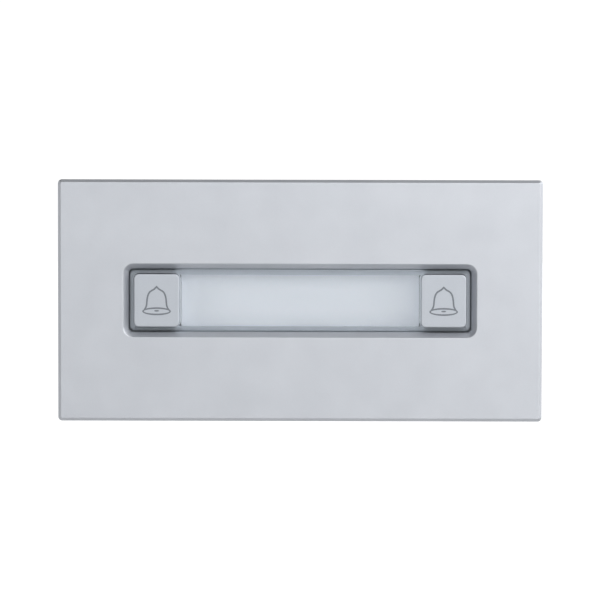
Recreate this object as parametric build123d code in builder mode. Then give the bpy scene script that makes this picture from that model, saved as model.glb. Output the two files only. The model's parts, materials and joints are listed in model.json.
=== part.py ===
from build123d import *
import os

# Half-height call module of a door intercom: an aluminium plate with a slot, a clear bar
# with two push caps and a lit name window, and a sealed housing behind it.
# X points right, Z up and the front faces -Y. The origin is the centre of the rear face.
# Depths are counted backwards from the front face of the plate, in millimetres.

# ---- Driving dimensions ----
total_depth = 26.0
module_grid = 49.1
module_gap = 0.2
plate_height = module_grid - module_gap
plate_width = 2 * module_grid - module_gap
slot_width = 69.5
slot_height = 12.9
button_offset = 29.03
wall = 1.8
fit_gap = 0.3
slide_gap = 0.15
snug_gap = 0.1
contact_gap = 0.05
thread_gap = 0.02

# ---- Depth levels of the stack ----
bar_front = 1.15
plate_rear = 3.0
seal_rear = 3.5
flange_rear = 4.7
channel_rear = 6.1
block_rear = 7.8
joint_level = 10.0
guide_rear = 12.2
board_front = 13.0
board_rear = 14.6
back_wall_front = 24.0

# ---- Front plate ----
plate_corner = 0.8
plate_chamfer = 0.6
slot_corner = 1.0
slot_bevel_width = 1.03
slot_bevel_depth = 1.2
boss_diameter = 4.6
boss_rear = flange_rear - snug_gap
boss_hole_front = 1.2

# ---- Clear bar and seal ----
bar_width = slot_width - 2 * fit_gap
bar_height = slot_height - 2 * fit_gap
bar_corner = 1.05
bar_chamfer_width = 0.95
bar_chamfer_depth = 0.7
flange_width = 73.0
flange_height = 16.0
flange_corner = 2.0
seal_inner_width = 70.3
seal_inner_height = 13.6

# ---- Push caps ----
sides = (("left", -1), ("right", 1))
cap_width = 9.2
cap_height = 10.7
cap_corner = 1.0
cap_front = 0.12
cap_edge_radius = 0.25
cap_gap = 0.12
cap_wall = 1.2
cap_face_thickness = 1.58
pocket_corner = 0.6
shoulder_thickness = 1.0
shoulder_front = flange_rear + contact_gap
shoulder_rear = shoulder_front + shoulder_thickness
shoulder_lip = 0.82
shoulder_height = 12.0
stem_diameter = 4.0
stem_rear = 6.8

# ---- Bell drawing on the caps ----
bell_line = 0.34
bell_depth = 0.12
bell_sink = 0.02
bell_apex = (0, 2.77)
bell_neck = (0.45, 2.32)
bell_shoulder = (1.3, 1.78)
bell_hip = (1.78, 0.9)
bell_waist = (1.97, -0.35)
bell_lip = (2.5, -1.93)
bell_tangents = ((0.75, -0.66), (0.62, -0.78))
mouth_width = 2.73
mouth_height = 0.64
mouth_z = -2.19
clapper_width = 0.5
clapper_height = 0.17
clapper_z = -2.1

# ---- Housing outline ----
case_width = 92.0
case_height = 42.5
case_corner = 3.0
rim_wall = wall / 2
lip_rear = 11.5
step_level = 12.0

# ---- Inner frame ----
block_width = 75.8
block_height = 18.8
pocket_gap = 0.2
guide_width = 12.4
guide_height = 14.7
guide_wall = 0.8
cavity_width = 10.4
cavity_height = 12.3
light_box_width = 46.9
light_box_height = 11.4
light_box_wall = 1.2
light_box_rear = board_front - snug_gap
channel_block_width = 58.0

# ---- Label tray ----
tray_width = 48.4
tray_bottom = -6.3
tray_front = flange_rear + slide_gap
tray_rear = channel_rear - slide_gap
tray_corner = 0.8
strip_height = 11.4
strip_thickness = 0.2
strip_gap = 0.15
head_width = 54.0
head_bottom = 19.75
head_front = 3.9
head_rear = 6.9
head_gap = 0.2
nail_groove_width = 14.0
nail_groove_height = 0.6
nail_groove_depth = 0.7
nail_notch_depth = 1.5
tray_seal_width = 53.2
tray_seal_bottom = 19.2
tray_seal_inset = 0.1

# ---- Screws and their places ----
screw_shank = 2.4
thread_hole = screw_shank + 2 * thread_gap
recess_radius = 1.2
recess_depth = 0.9
frame_screw_x = 41.2
frame_screw_z = 9.0
frame_screw_head = 5.6
frame_screw_head_height = 1.8
frame_screw_tip = 1.6
frame_screw_clearance = 4.8
board_screw_x = 31.0
board_screw_z = 14.8
board_screw_head = 4.4
board_screw_head_height = 1.6
board_screw_tip = 7.0
board_hole = 2.9
board_post = 5.0
board_post_hole_front = 6.4
cover_screw_x = 41.4
cover_screw_z = 16.6
cover_screw_head = 4.6
cover_screw_head_height = 1.9
cover_screw_seat = 16.0
cover_screw_tip = 6.0
cover_boss = 5.2
cover_boss_hole_front = 5.4
cover_column = 7.0
cover_counterbore = 5.4
cover_screw_clearance = 2.9

# ---- Lighting ----
guide_plate_width = 46.6
guide_plate_height = 11.2
guide_plate_front = channel_rear + snug_gap
guide_plate_thickness = 4.0
guide_plate_edge = 0.4
guide_leg_x = 21.8
guide_leg_z = 4.2
guide_leg_diameter = 1.6
led_pitch = 13.0
led_count = 4
led_width = 3.5
led_height = 2.8
led_thickness = 1.1
led_lens_width = 2.4
led_lens_height = 2.0
led_lens_depth = 0.2

# ---- Button boots and switches ----
boot_flange_width = 12.0
boot_flange_height = 14.2
boot_flange_corner = 1.0
boot_base_width = 9.2
boot_base_height = 11.0
boot_base_corner = 1.6
boot_top_size = 6.4
boot_top_corner = 1.4
boot_top_level = 7.4
boot_wall = 0.6
boot_pad_diameter = 4.2
boot_pad_front = stem_rear + contact_gap
boot_pad_rear = 8.05
switch_size = 6.0
switch_corner = 0.3
switch_front = 9.9
switch_cavity = 4.6
switch_cavity_rear = 12.4
switch_cover_front = 9.6
switch_clip_width = 2.4
switch_clip_rear = 11.4
switch_clip_thickness = 0.25
plunger_diameter = 3.5
plunger_hole = 3.7
plunger_front = boot_pad_rear + contact_gap
plunger_foot = 4.4
plunger_foot_front = switch_front + snug_gap
plunger_foot_rear = 11.0

# ---- Circuit board and its components ----
board_width = 75.0
board_height = 36.0
board_corner = 1.0
controller_size = 10.0
controller_height = 1.4
controller_at = (-2.0, 11.6)
driver_width = 5.0
driver_length = 4.0
driver_height = 1.5
driver_at = (1.0, -11.5)
capacitor_diameter = 6.3
capacitor_height = 7.0
capacitor_at = (24.5, 8.0)
capacitor_base = 6.6
capacitor_base_height = 0.9
capacitor_edge = 0.4
inductor_size = 6.0
inductor_height = 3.0
inductor_corner = 1.2
inductor_at = (-24.5, 8.0)
resistor_width = 1.6
resistor_height = 0.8
resistor_thickness = 0.45
resistor_rows_z = (-7.6, -15.2)
resistor_columns_x = (-26.0, -23.0, -20.0, 20.0, 23.0, 26.0)

# ---- Bus sockets ----
socket_offset = 13.0
socket_width = 12.3
socket_height = 5.8
socket_rear = 22.1
socket_base = 1.2
socket_inner_width = 10.9
socket_inner_height = 4.5
socket_key_width = 4.0
socket_key_depth = 3.0
pin_size = 0.64
pin_hole = 0.9
pin_pitch = 2.5
pin_count = 4
pin_tail = 12.3
pin_tip = 21.0
pin_point = 0.2

# ---- Rear cover ----
port_width = 14.0
port_height = 8.0
port_corner = 1.0
insert_x = 33.0
insert_z = 14.0
insert_diameter = 4.6
insert_bore = 2.5
insert_front = 20.5
insert_boss = 7.0
insert_boss_front = 19.3
insert_groove = 0.3
insert_groove_width = 1.0
cover_edge = 0.8
rating_width = 34.0
rating_height = 9.0
rating_z = 13.5
rating_recess = 0.25
rating_thickness = 0.1
rating_corner = 0.6

os.makedirs("parts", exist_ok=True)


def level(depth, x=0.0):
    """Plane that faces the front, at this depth behind the front face."""
    return Plane(origin=(x, depth - total_depth, 0), x_dir=(1, 0, 0), z_dir=(0, -1, 0))


def corners(x, z):
    """The four places at plus and minus x and z."""
    return [(sx * x, sz * z) for sx in (-1, 1) for sz in (-1, 1)]


def block(front, rear, size, corner=0.0, places=((0, 0),), mode=Mode.ADD):
    """Upright block, width by height, between two depths, at each place."""
    with BuildSketch(level(rear)) as outline:
        with Locations(*places):
            if corner:
                RectangleRounded(*size, corner)
            else:
                Rectangle(*size)
    extrude(outline.sketch, amount=rear - front, mode=mode)


def post(front, rear, diameter, places=((0, 0),), mode=Mode.ADD):
    """Round post or hole between two depths, at each place."""
    with BuildSketch(level(rear)) as outline:
        with Locations(*places):
            Circle(diameter / 2)
    extrude(outline.sketch, amount=rear - front, mode=mode)


def span(front, rear, low, high, mode=Mode.ADD):
    """Block between two depths and two opposite corners, each (x, z)."""
    size = (high[0] - low[0], high[1] - low[1])
    centre = ((high[0] + low[0]) / 2, (high[1] + low[1]) / 2)
    block(front, rear, size, places=[centre], mode=mode)


def bell_drawing(depth, x):
    """Bell in line work: pointed crown, flared skirt, mouth ring and clapper."""
    with BuildSketch(level(depth, x)) as drawing:
        half_line = bell_line / 2
        with Locations((0, mouth_z)):
            Ellipse(mouth_width + half_line, mouth_height + half_line)
            Ellipse(
                mouth_width - half_line, mouth_height - half_line, mode=Mode.SUBTRACT
            )
        with BuildLine():
            Spline(
                bell_apex,
                bell_neck,
                bell_shoulder,
                bell_hip,
                bell_waist,
                bell_lip,
                tangents=bell_tangents,
            )
            mirror(about=Plane.YZ)
        trace(line_width=bell_line)
        with Locations((0, clapper_z)):
            Ellipse(clapper_width, clapper_height)
    return drawing.sketch


frame_screw_places = corners(frame_screw_x, frame_screw_z)
board_screw_places = corners(board_screw_x, board_screw_z)
cover_screw_places = corners(cover_screw_x, cover_screw_z)
insert_places = corners(insert_x, insert_z)
button_places = [(sign * button_offset, 0) for _, sign in sides]
pin_columns = [(n - (pin_count - 1) / 2) * pin_pitch for n in range(pin_count)]
sockets = (("bus_in", -socket_offset), ("bus_out", socket_offset))

# ---- Front plate: slot with a bevelled mouth, threaded bosses behind ----
with BuildPart() as front_plate:
    with BuildSketch(level(plate_rear)):
        RectangleRounded(plate_width, plate_height, plate_corner)
    extrude(amount=plate_rear)
    chamfer(front_plate.faces().sort_by(Axis.Y)[0].edges(), plate_chamfer)
    with BuildSketch(level(plate_rear)):
        RectangleRounded(slot_width, slot_height, slot_corner)
    extrude(amount=plate_rear, mode=Mode.SUBTRACT)
    face = front_plate.faces().sort_by(Axis.Y)[0]
    chamfer(
        face.inner_wires()[0].edges(),
        length=slot_bevel_width,
        length2=slot_bevel_depth,
        reference=face,
    )
    post(plate_rear, boss_rear, boss_diameter, frame_screw_places)
    post(boss_hole_front, boss_rear, thread_hole, frame_screw_places, Mode.SUBTRACT)
front_plate.part.label = "front_plate"
export_step(front_plate.part, "parts/front_plate.step")

# ---- Seal between the plate and the bar's flange ----
with BuildPart() as plate_seal:
    block(plate_rear, seal_rear, (flange_width, flange_height), flange_corner)
    inner = (seal_inner_width, seal_inner_height)
    block(plate_rear, seal_rear, inner, slot_corner, mode=Mode.SUBTRACT)
plate_seal.part.label = "plate_seal"
export_step(plate_seal.part, "parts/plate_seal.step")

# ---- Clear bar: chamfered land in the slot, flange behind it, an aperture for each cap ----
with BuildPart() as window_bar:
    with BuildSketch(level(seal_rear)):
        RectangleRounded(bar_width, bar_height, bar_corner)
    extrude(amount=seal_rear - bar_front)
    face = window_bar.faces().sort_by(Axis.Y)[0]
    chamfer(
        face.edges(),
        length=bar_chamfer_width,
        length2=bar_chamfer_depth,
        reference=face,
    )
    block(seal_rear, flange_rear, (flange_width, flange_height), flange_corner)
    aperture = (cap_width + 2 * cap_gap, cap_height + 2 * cap_gap)
    aperture_corner = cap_corner + cap_gap
    block(0, flange_rear, aperture, aperture_corner, button_places, Mode.SUBTRACT)
window_bar.part.label = "window_bar"
export_step(window_bar.part, "parts/window_bar.step")

# ---- Push caps, hollow behind, with a stop shoulder on three sides, and their bell marks ----
for side, sign in sides:
    centre = (sign * button_offset, 0)
    shoulder_width = cap_width + shoulder_lip
    shoulder_centre = (sign * (button_offset + shoulder_lip / 2), 0)
    pocket_front = cap_front + cap_face_thickness
    pocket = (cap_width - 2 * cap_wall, cap_height - 2 * cap_wall)
    mark_rear = cap_front + bell_depth
    with BuildPart() as call_button:
        block(cap_front, shoulder_rear, (cap_width, cap_height), cap_corner, [centre])
        fillet(call_button.faces().sort_by(Axis.Y)[0].edges(), cap_edge_radius)
        shoulder = (shoulder_width, shoulder_height)
        block(shoulder_front, shoulder_rear, shoulder, places=[shoulder_centre])
        block(pocket_front, shoulder_rear, pocket, pocket_corner, [centre], Mode.SUBTRACT)
        post(pocket_front, stem_rear, stem_diameter, [centre])
        drawing = bell_drawing(mark_rear, centre[0])
        extrude(drawing, amount=bell_depth, mode=Mode.SUBTRACT)
    call_button.part.label = f"call_button_{side}"
    export_step(call_button.part, f"parts/call_button_{side}.step")

    with BuildPart() as bell_mark:
        extrude(bell_drawing(mark_rear, centre[0]), amount=bell_depth - bell_sink)
    bell_mark.part.label = f"bell_mark_{side}"
    export_step(bell_mark.part, f"parts/bell_mark_{side}.step")

# ---- Inner frame: web, skirt and lip, light box, button guides and the tray's channel ----
case_top = case_height / 2
with BuildPart() as inner_frame:
    block(plate_rear, joint_level, (case_width, case_height), case_corner)
    lip = (case_width - 2 * rim_wall - snug_gap, case_height - 2 * rim_wall - snug_gap)
    block(joint_level, lip_rear, lip, case_corner - rim_wall)
    hollow = (case_width - 2 * wall, case_height - 2 * wall)
    block(flange_rear, lip_rear, hollow, case_corner - wall, mode=Mode.SUBTRACT)
    block(flange_rear, block_rear, (block_width, block_height))
    channel_half = channel_block_width / 2
    span(flange_rear, block_rear, (-channel_half, 0), (channel_half, case_top))
    guide_places = [
        (sign * (light_box_width / 2 + guide_width / 2), 0) for _, sign in sides
    ]
    block(flange_rear, guide_rear, (guide_width, guide_height), places=guide_places)
    light_box = (light_box_width, light_box_height + 2 * light_box_wall)
    block(flange_rear, light_box_rear, light_box)
    post(flange_rear, board_front, board_post, board_screw_places)
    post(flange_rear, step_level, cover_boss, cover_screw_places)

    pocket = (flange_width + 2 * pocket_gap, flange_height + 2 * pocket_gap)
    pocket_corner_radius = flange_corner + pocket_gap
    block(plate_rear, flange_rear, pocket, pocket_corner_radius, mode=Mode.SUBTRACT)
    opening = (light_box_width, light_box_height)
    block(flange_rear, light_box_rear, opening, mode=Mode.SUBTRACT)
    cavity_x = light_box_width / 2 + guide_wall + cavity_width / 2
    cavity_places = [(sign * cavity_x, 0) for _, sign in sides]
    cavity = (cavity_width, cavity_height)
    block(flange_rear, guide_rear, cavity, places=cavity_places, mode=Mode.SUBTRACT)
    channel_x = tray_width / 2 + slide_gap
    channel_low = (-channel_x, tray_bottom - pocket_gap)
    span(flange_rear, channel_rear, channel_low, (channel_x, case_top), Mode.SUBTRACT)
    head_x = head_width / 2 + head_gap
    head_low = (-head_x, tray_seal_bottom)
    span(
        head_front - head_gap,
        head_rear + head_gap,
        head_low,
        (head_x, case_top),
        Mode.SUBTRACT,
    )
    notch_front = head_rear + head_gap
    notch_x = nail_groove_width / 2
    notch_low = (-notch_x, head_bottom)
    notch_rear = notch_front + nail_notch_depth
    span(notch_front, notch_rear, notch_low, (notch_x, case_top), Mode.SUBTRACT)
    clearance = frame_screw_clearance
    post(plate_rear, flange_rear, clearance, frame_screw_places, Mode.SUBTRACT)
    hole_front = board_post_hole_front
    post(hole_front, board_front, thread_hole, board_screw_places, Mode.SUBTRACT)
    hole_front = cover_boss_hole_front
    post(hole_front, step_level, thread_hole, cover_screw_places, Mode.SUBTRACT)
inner_frame.part.label = "inner_frame"
export_step(inner_frame.part, "parts/inner_frame.step")

# ---- Label tray: clear tongue behind the window, with a head in the top edge ----
strip_rear = tray_front + strip_thickness
with BuildPart() as label_tray:
    tongue_x = tray_width / 2
    span(tray_front, tray_rear, (-tongue_x, tray_bottom), (tongue_x, head_bottom))
    lower_edges = label_tray.edges().filter_by(Axis.Y).sort_by(Axis.Z)[:2]
    fillet(lower_edges, tray_corner)
    half_head = head_width / 2
    span(head_front, head_rear, (-half_head, head_bottom), (half_head, case_top))
    strip_pocket = (tray_width, strip_height + 2 * strip_gap)
    block(tray_front, strip_rear, strip_pocket, mode=Mode.SUBTRACT)
    groove_x = nail_groove_width / 2
    groove_middle = (case_top + head_bottom) / 2
    groove_low = (-groove_x, groove_middle - nail_groove_height / 2)
    groove_high = (groove_x, groove_middle + nail_groove_height / 2)
    span(
        head_rear - nail_groove_depth, head_rear, groove_low, groove_high, Mode.SUBTRACT
    )
label_tray.part.label = "label_tray"
export_step(label_tray.part, "parts/label_tray.step")

with BuildPart() as label_strip:
    block(tray_front, strip_rear, (tray_width, strip_height))
label_strip.part.label = "label_strip"
export_step(label_strip.part, "parts/label_strip.step")

with BuildPart() as tray_seal:
    half_seal = tray_seal_width / 2
    seal_front = head_front + tray_seal_inset
    seal_low = (-half_seal, tray_seal_bottom)
    span(seal_front, head_rear - tray_seal_inset, seal_low, (half_seal, head_bottom))
    tongue_low = (-tongue_x, tray_seal_bottom)
    span(tray_front, tray_rear, tongue_low, (tongue_x, head_bottom), Mode.SUBTRACT)
tray_seal.part.label = "tray_seal"
export_step(tray_seal.part, "parts/tray_seal.step")

# ---- Light guide on four legs, and the lamps that light it ----
guide_plate_rear = guide_plate_front + guide_plate_thickness
with BuildPart() as light_guide:
    block(guide_plate_front, guide_plate_rear, (guide_plate_width, guide_plate_height))
    chamfer(light_guide.faces().sort_by(Axis.Y)[-1].edges(), guide_plate_edge)
    leg_places = corners(guide_leg_x, guide_leg_z)
    post(guide_plate_rear, board_front, guide_leg_diameter, leg_places)
light_guide.part.label = "light_guide"
export_step(light_guide.part, "parts/light_guide.step")

led_front = board_front - led_thickness
for number in range(led_count):
    led_x = (number - (led_count - 1) / 2) * led_pitch
    with BuildPart() as backlight_led:
        block(led_front, board_front, (led_width, led_height), places=[(led_x, 0)])
        lens = (led_lens_width, led_lens_height)
        lens_rear = led_front + led_lens_depth
        block(led_front, lens_rear, lens, places=[(led_x, 0)], mode=Mode.SUBTRACT)
    name = f"backlight_led_{number + 1}"
    backlight_led.part.label = name
    export_step(backlight_led.part, f"parts/{name}.step")

# ---- Silicone boots, and the switches under them ----
for side, sign in sides:
    x = sign * button_offset
    with BuildPart() as button_boot:
        flange_x = sign * (light_box_width / 2 + guide_width / 2)
        boot_flange = (boot_flange_width, boot_flange_height)
        places = [(flange_x, 0)]
        block(guide_rear, board_front, boot_flange, boot_flange_corner, places)
        with BuildSketch(level(guide_rear, x)) as base:
            RectangleRounded(boot_base_width, boot_base_height, boot_base_corner)
        with BuildSketch(level(boot_top_level, x)) as top:
            RectangleRounded(boot_top_size, boot_top_size, boot_top_corner)
        loft([base.sketch.face(), top.sketch.face()])
        post(boot_pad_front, boot_top_level, boot_pad_diameter, [(x, 0)])
        inner_width = boot_base_width - 2 * boot_wall
        inner_height = boot_base_height - 2 * boot_wall
        inner_top = boot_top_size - 2 * boot_wall
        inner_corner = boot_base_corner - boot_wall
        top_corner = boot_top_corner - boot_wall
        with BuildSketch(level(guide_rear, x)) as inner_base:
            RectangleRounded(inner_width, inner_height, inner_corner)
        with BuildSketch(level(boot_top_level + boot_wall, x)) as inner_ceiling:
            RectangleRounded(inner_top, inner_top, top_corner)
        ends = [inner_base.sketch.face(), inner_ceiling.sketch.face()]
        loft(ends, mode=Mode.SUBTRACT)
        room = (inner_width, inner_height)
        block(guide_rear, board_front, room, inner_corner, [(x, 0)], Mode.SUBTRACT)
        post(boot_top_level, boot_pad_rear, plunger_diameter, [(x, 0)])
    button_boot.part.label = f"button_boot_{side}"
    export_step(button_boot.part, f"parts/button_boot_{side}.step")

    with BuildPart() as switch_base:
        square = (switch_size, switch_size)
        block(switch_front, board_front, square, switch_corner, [(x, 0)])
        cavity_rear = switch_cavity_rear
        post(switch_front, cavity_rear, switch_cavity, [(x, 0)], Mode.SUBTRACT)
    switch_base.part.label = f"switch_base_{side}"
    export_step(switch_base.part, f"parts/switch_base_{side}.step")

    with BuildPart() as switch_cover:
        block(switch_cover_front, switch_front, square, switch_corner, [(x, 0)])
        clip = (switch_clip_width, switch_clip_thickness)
        clip_z = (switch_size + switch_clip_thickness) / 2
        clip_places = [(x, -clip_z), (x, clip_z)]
        block(switch_cover_front, switch_clip_rear, clip, places=clip_places)
        post(switch_cover_front, switch_front, plunger_hole, [(x, 0)], Mode.SUBTRACT)
    switch_cover.part.label = f"switch_cover_{side}"
    export_step(switch_cover.part, f"parts/switch_cover_{side}.step")

    with BuildPart() as switch_plunger:
        post(plunger_front, plunger_foot_front, plunger_diameter, [(x, 0)])
        post(plunger_foot_front, plunger_foot_rear, plunger_foot, [(x, 0)])
    switch_plunger.part.label = f"switch_plunger_{side}"
    export_step(switch_plunger.part, f"parts/switch_plunger_{side}.step")

# ---- Circuit board, with holes for its screws and for the socket pins ----
pin_places = [(x + column, 0) for _, x in sockets for column in pin_columns]
with BuildPart() as circuit_board:
    block(board_front, board_rear, (board_width, board_height), board_corner)
    post(board_front, board_rear, board_hole, board_screw_places, Mode.SUBTRACT)
    post(board_front, board_rear, pin_hole, pin_places, Mode.SUBTRACT)
circuit_board.part.label = "circuit_board"
export_step(circuit_board.part, "parts/circuit_board.step")

# ---- Components on the rear of the board ----
with BuildPart() as controller_chip:
    chip_rear = board_rear + controller_height
    chip = (controller_size, controller_size)
    block(board_rear, chip_rear, chip, places=[controller_at])
controller_chip.part.label = "controller_chip"
export_step(controller_chip.part, "parts/controller_chip.step")

with BuildPart() as bus_driver_chip:
    chip_rear = board_rear + driver_height
    block(board_rear, chip_rear, (driver_width, driver_length), places=[driver_at])
bus_driver_chip.part.label = "bus_driver_chip"
export_step(bus_driver_chip.part, "parts/bus_driver_chip.step")

with BuildPart() as storage_capacitor:
    base_rear = board_rear + capacitor_base_height
    block(board_rear, base_rear, (capacitor_base, capacitor_base), places=[capacitor_at])
    post(base_rear, board_rear + capacitor_height, capacitor_diameter, [capacitor_at])
    fillet(storage_capacitor.faces().sort_by(Axis.Y)[-1].edges(), capacitor_edge)
storage_capacitor.part.label = "storage_capacitor"
export_step(storage_capacitor.part, "parts/storage_capacitor.step")

with BuildPart() as power_inductor:
    coil_rear = board_rear + inductor_height
    square = (inductor_size, inductor_size)
    block(board_rear, coil_rear, square, inductor_corner, [inductor_at])
power_inductor.part.label = "power_inductor"
export_step(power_inductor.part, "parts/power_inductor.step")

with BuildPart() as chip_resistors:
    places = [(x, z) for x in resistor_columns_x for z in resistor_rows_z]
    resistor_rear = board_rear + resistor_thickness
    resistor = (resistor_width, resistor_height)
    block(board_rear, resistor_rear, resistor, places=places)
chip_resistors.part.label = "chip_resistors"
export_step(chip_resistors.part, "parts/chip_resistors.step")

# ---- Bus sockets with a keying notch, and their pins ----
for name, x in sockets:
    with BuildPart() as socket:
        block(board_rear, socket_rear, (socket_width, socket_height), places=[(x, 0)])
        inner = (socket_inner_width, socket_inner_height)
        floor = board_rear + socket_base
        block(floor, socket_rear, inner, places=[(x, 0)], mode=Mode.SUBTRACT)
        half_key = socket_key_width / 2
        key_low = (x - half_key, 0)
        key_high = (x + half_key, socket_height)
        key_front = socket_rear - socket_key_depth
        span(key_front, socket_rear, key_low, key_high, Mode.SUBTRACT)
        places = [(x + column, 0) for column in pin_columns]
        post(board_rear, floor, pin_hole, places, Mode.SUBTRACT)
    socket.part.label = f"{name}_socket"
    export_step(socket.part, f"parts/{name}_socket.step")

    with BuildPart() as pins:
        block(pin_tail, pin_tip, (pin_size, pin_size), places=places)
        chamfer(pins.faces().filter_by(Axis.Y).edges(), pin_point)
    pins.part.label = f"{name}_pins"
    export_step(pins.part, f"parts/{name}_pins.step")

# ---- Rear cover: rim over the frame's lip, screw columns, insert bosses, two ports ----
with BuildPart() as rear_cover:
    block(joint_level, total_depth, (case_width, case_height), case_corner)
    chamfer(rear_cover.faces().sort_by(Axis.Y)[-1].edges(), cover_edge)
    rim = (case_width - 2 * rim_wall, case_height - 2 * rim_wall)
    block(joint_level, step_level, rim, case_corner - rim_wall, mode=Mode.SUBTRACT)
    hollow = (case_width - 2 * wall, case_height - 2 * wall)
    hollow_corner = case_corner - wall
    block(step_level, back_wall_front, hollow, hollow_corner, mode=Mode.SUBTRACT)
    post(step_level, back_wall_front, cover_column, cover_screw_places)
    post(insert_boss_front, back_wall_front, insert_boss, insert_places)

    clearance = cover_screw_clearance
    post(step_level, cover_screw_seat, clearance, cover_screw_places, Mode.SUBTRACT)
    bore = cover_counterbore
    post(cover_screw_seat, total_depth, bore, cover_screw_places, Mode.SUBTRACT)
    bore = insert_diameter + 2 * thread_gap
    post(insert_front, total_depth, bore, insert_places, Mode.SUBTRACT)
    port_places = [(x, 0) for _, x in sockets]
    port = (port_width, port_height)
    block(back_wall_front, total_depth, port, port_corner, port_places, Mode.SUBTRACT)
    label_front = total_depth - rating_recess
    rating = (rating_width, rating_height)
    places = [(0, rating_z)]
    block(label_front, total_depth, rating, rating_corner, places, Mode.SUBTRACT)
rear_cover.part.label = "rear_cover"
export_step(rear_cover.part, "parts/rear_cover.step")

with BuildPart() as rating_label:
    sticker = (rating_width - 2 * fit_gap, rating_height - 2 * fit_gap)
    block(label_front, label_front + rating_thickness, sticker, rating_corner, places)
rating_label.part.label = "rating_label"
export_step(rating_label.part, "parts/rating_label.step")

with BuildPart() as cover_seal:
    block(lip_rear, step_level, lip, case_corner - rim_wall)
    block(lip_rear, step_level, hollow, hollow_corner, mode=Mode.SUBTRACT)
cover_seal.part.label = "cover_seal"
export_step(cover_seal.part, "parts/cover_seal.step")

# ---- Threaded brass inserts in the rear cover ----
with BuildPart() as mounting_inserts:
    post(insert_front, total_depth, insert_diameter, insert_places)
    groove_front = (insert_front + total_depth - insert_groove_width) / 2
    groove_rear = groove_front + insert_groove_width
    waist = insert_diameter - 2 * insert_groove
    with BuildSketch(level(groove_rear)) as groove:
        with Locations(*insert_places):
            Circle(insert_diameter / 2 + insert_groove)
            Circle(waist / 2, mode=Mode.SUBTRACT)
    extrude(groove.sketch, amount=insert_groove_width, mode=Mode.SUBTRACT)
    post(insert_front, total_depth, insert_bore, insert_places, Mode.SUBTRACT)
mounting_inserts.part.label = "mounting_inserts"
export_step(mounting_inserts.part, "parts/mounting_inserts.step")

# ---- Screws: seat level, head diameter and height, tip level, places ----
screw_sets = (
    (
        "frame_screws",
        flange_rear,
        frame_screw_head,
        frame_screw_head_height,
        frame_screw_tip,
        frame_screw_places,
    ),
    (
        "board_screws",
        board_rear,
        board_screw_head,
        board_screw_head_height,
        board_screw_tip,
        board_screw_places,
    ),
    (
        "cover_screws",
        cover_screw_seat,
        cover_screw_head,
        cover_screw_head_height,
        cover_screw_tip,
        cover_screw_places,
    ),
)
for name, seat, head, head_height, tip, places in screw_sets:
    with BuildPart() as screws:
        post(tip, seat, screw_shank, places)
        post(seat, seat + head_height, head, places)
        with BuildSketch(level(seat + head_height)) as recess:
            with Locations(*places):
                RegularPolygon(recess_radius, side_count=6)
        extrude(recess.sketch, amount=recess_depth, mode=Mode.SUBTRACT)
    screws.part.label = name
    export_step(screws.part, f"parts/{name}.step")
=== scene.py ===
import itertools
import json
import math

import bmesh
import bpy
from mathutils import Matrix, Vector

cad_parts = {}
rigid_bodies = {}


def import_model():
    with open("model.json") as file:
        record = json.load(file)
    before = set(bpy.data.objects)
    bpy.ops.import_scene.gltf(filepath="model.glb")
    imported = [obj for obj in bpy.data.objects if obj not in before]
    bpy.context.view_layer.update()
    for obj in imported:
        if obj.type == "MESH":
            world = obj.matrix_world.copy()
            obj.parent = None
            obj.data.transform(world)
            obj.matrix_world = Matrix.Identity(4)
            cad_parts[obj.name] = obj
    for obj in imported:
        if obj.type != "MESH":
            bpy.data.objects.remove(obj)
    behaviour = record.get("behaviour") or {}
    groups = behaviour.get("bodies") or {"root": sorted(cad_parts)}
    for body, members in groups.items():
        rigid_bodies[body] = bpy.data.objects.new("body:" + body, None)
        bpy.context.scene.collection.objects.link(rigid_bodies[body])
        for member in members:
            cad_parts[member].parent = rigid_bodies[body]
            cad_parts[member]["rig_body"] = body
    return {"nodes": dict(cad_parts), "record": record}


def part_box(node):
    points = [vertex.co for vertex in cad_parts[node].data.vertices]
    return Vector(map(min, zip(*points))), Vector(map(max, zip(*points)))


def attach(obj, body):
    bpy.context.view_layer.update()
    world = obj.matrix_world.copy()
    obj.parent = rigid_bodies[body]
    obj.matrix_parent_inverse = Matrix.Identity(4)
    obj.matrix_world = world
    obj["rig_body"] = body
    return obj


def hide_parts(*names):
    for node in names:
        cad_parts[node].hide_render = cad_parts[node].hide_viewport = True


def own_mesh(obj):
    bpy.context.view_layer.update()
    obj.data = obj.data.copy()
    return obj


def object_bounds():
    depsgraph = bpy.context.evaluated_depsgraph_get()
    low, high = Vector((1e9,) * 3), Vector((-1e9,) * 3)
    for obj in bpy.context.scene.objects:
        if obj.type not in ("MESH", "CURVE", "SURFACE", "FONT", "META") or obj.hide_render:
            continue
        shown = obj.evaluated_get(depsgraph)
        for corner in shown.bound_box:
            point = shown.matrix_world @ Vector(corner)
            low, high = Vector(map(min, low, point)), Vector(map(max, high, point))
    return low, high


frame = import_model()
cad_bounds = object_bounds()
MM = 0.001
CLEAR_IOR = 1.585
# Colours of the painted glow in the label window and on the clear bar's edges.
WINDOW_PAINTED_GLOW = (0.90, 0.95, 1.0, 1)
BAR_PAINTED_GLOW = (0.88, 0.94, 1.0, 1)
WELD = 0.0005 * MM


# ---- Materials: constants go on the shader's sockets, only what varies is linked ----
def shader_of(mat):
    """The material's Principled node."""
    return mat.node_tree.nodes["Principled BSDF"]


def new_material(name, **sockets):
    """Principled material. Keyword names are socket names with _ for spaces."""
    mat = bpy.data.materials.new(name)
    mat.use_nodes = True
    for key, value in sockets.items():
        shader_of(mat).inputs[key.replace("_", " ")].default_value = value
    return mat


def add_node(mat, kind, **values):
    """New node; each keyword sets the attribute of that name, or else the input of that name with
    _ for spaces.
    """
    node = mat.node_tree.nodes.new(kind)
    for key, value in values.items():
        if hasattr(node, key):
            setattr(node, key, value)
        else:
            node.inputs[key.replace("_", " ")].default_value = value
    return node


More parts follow.
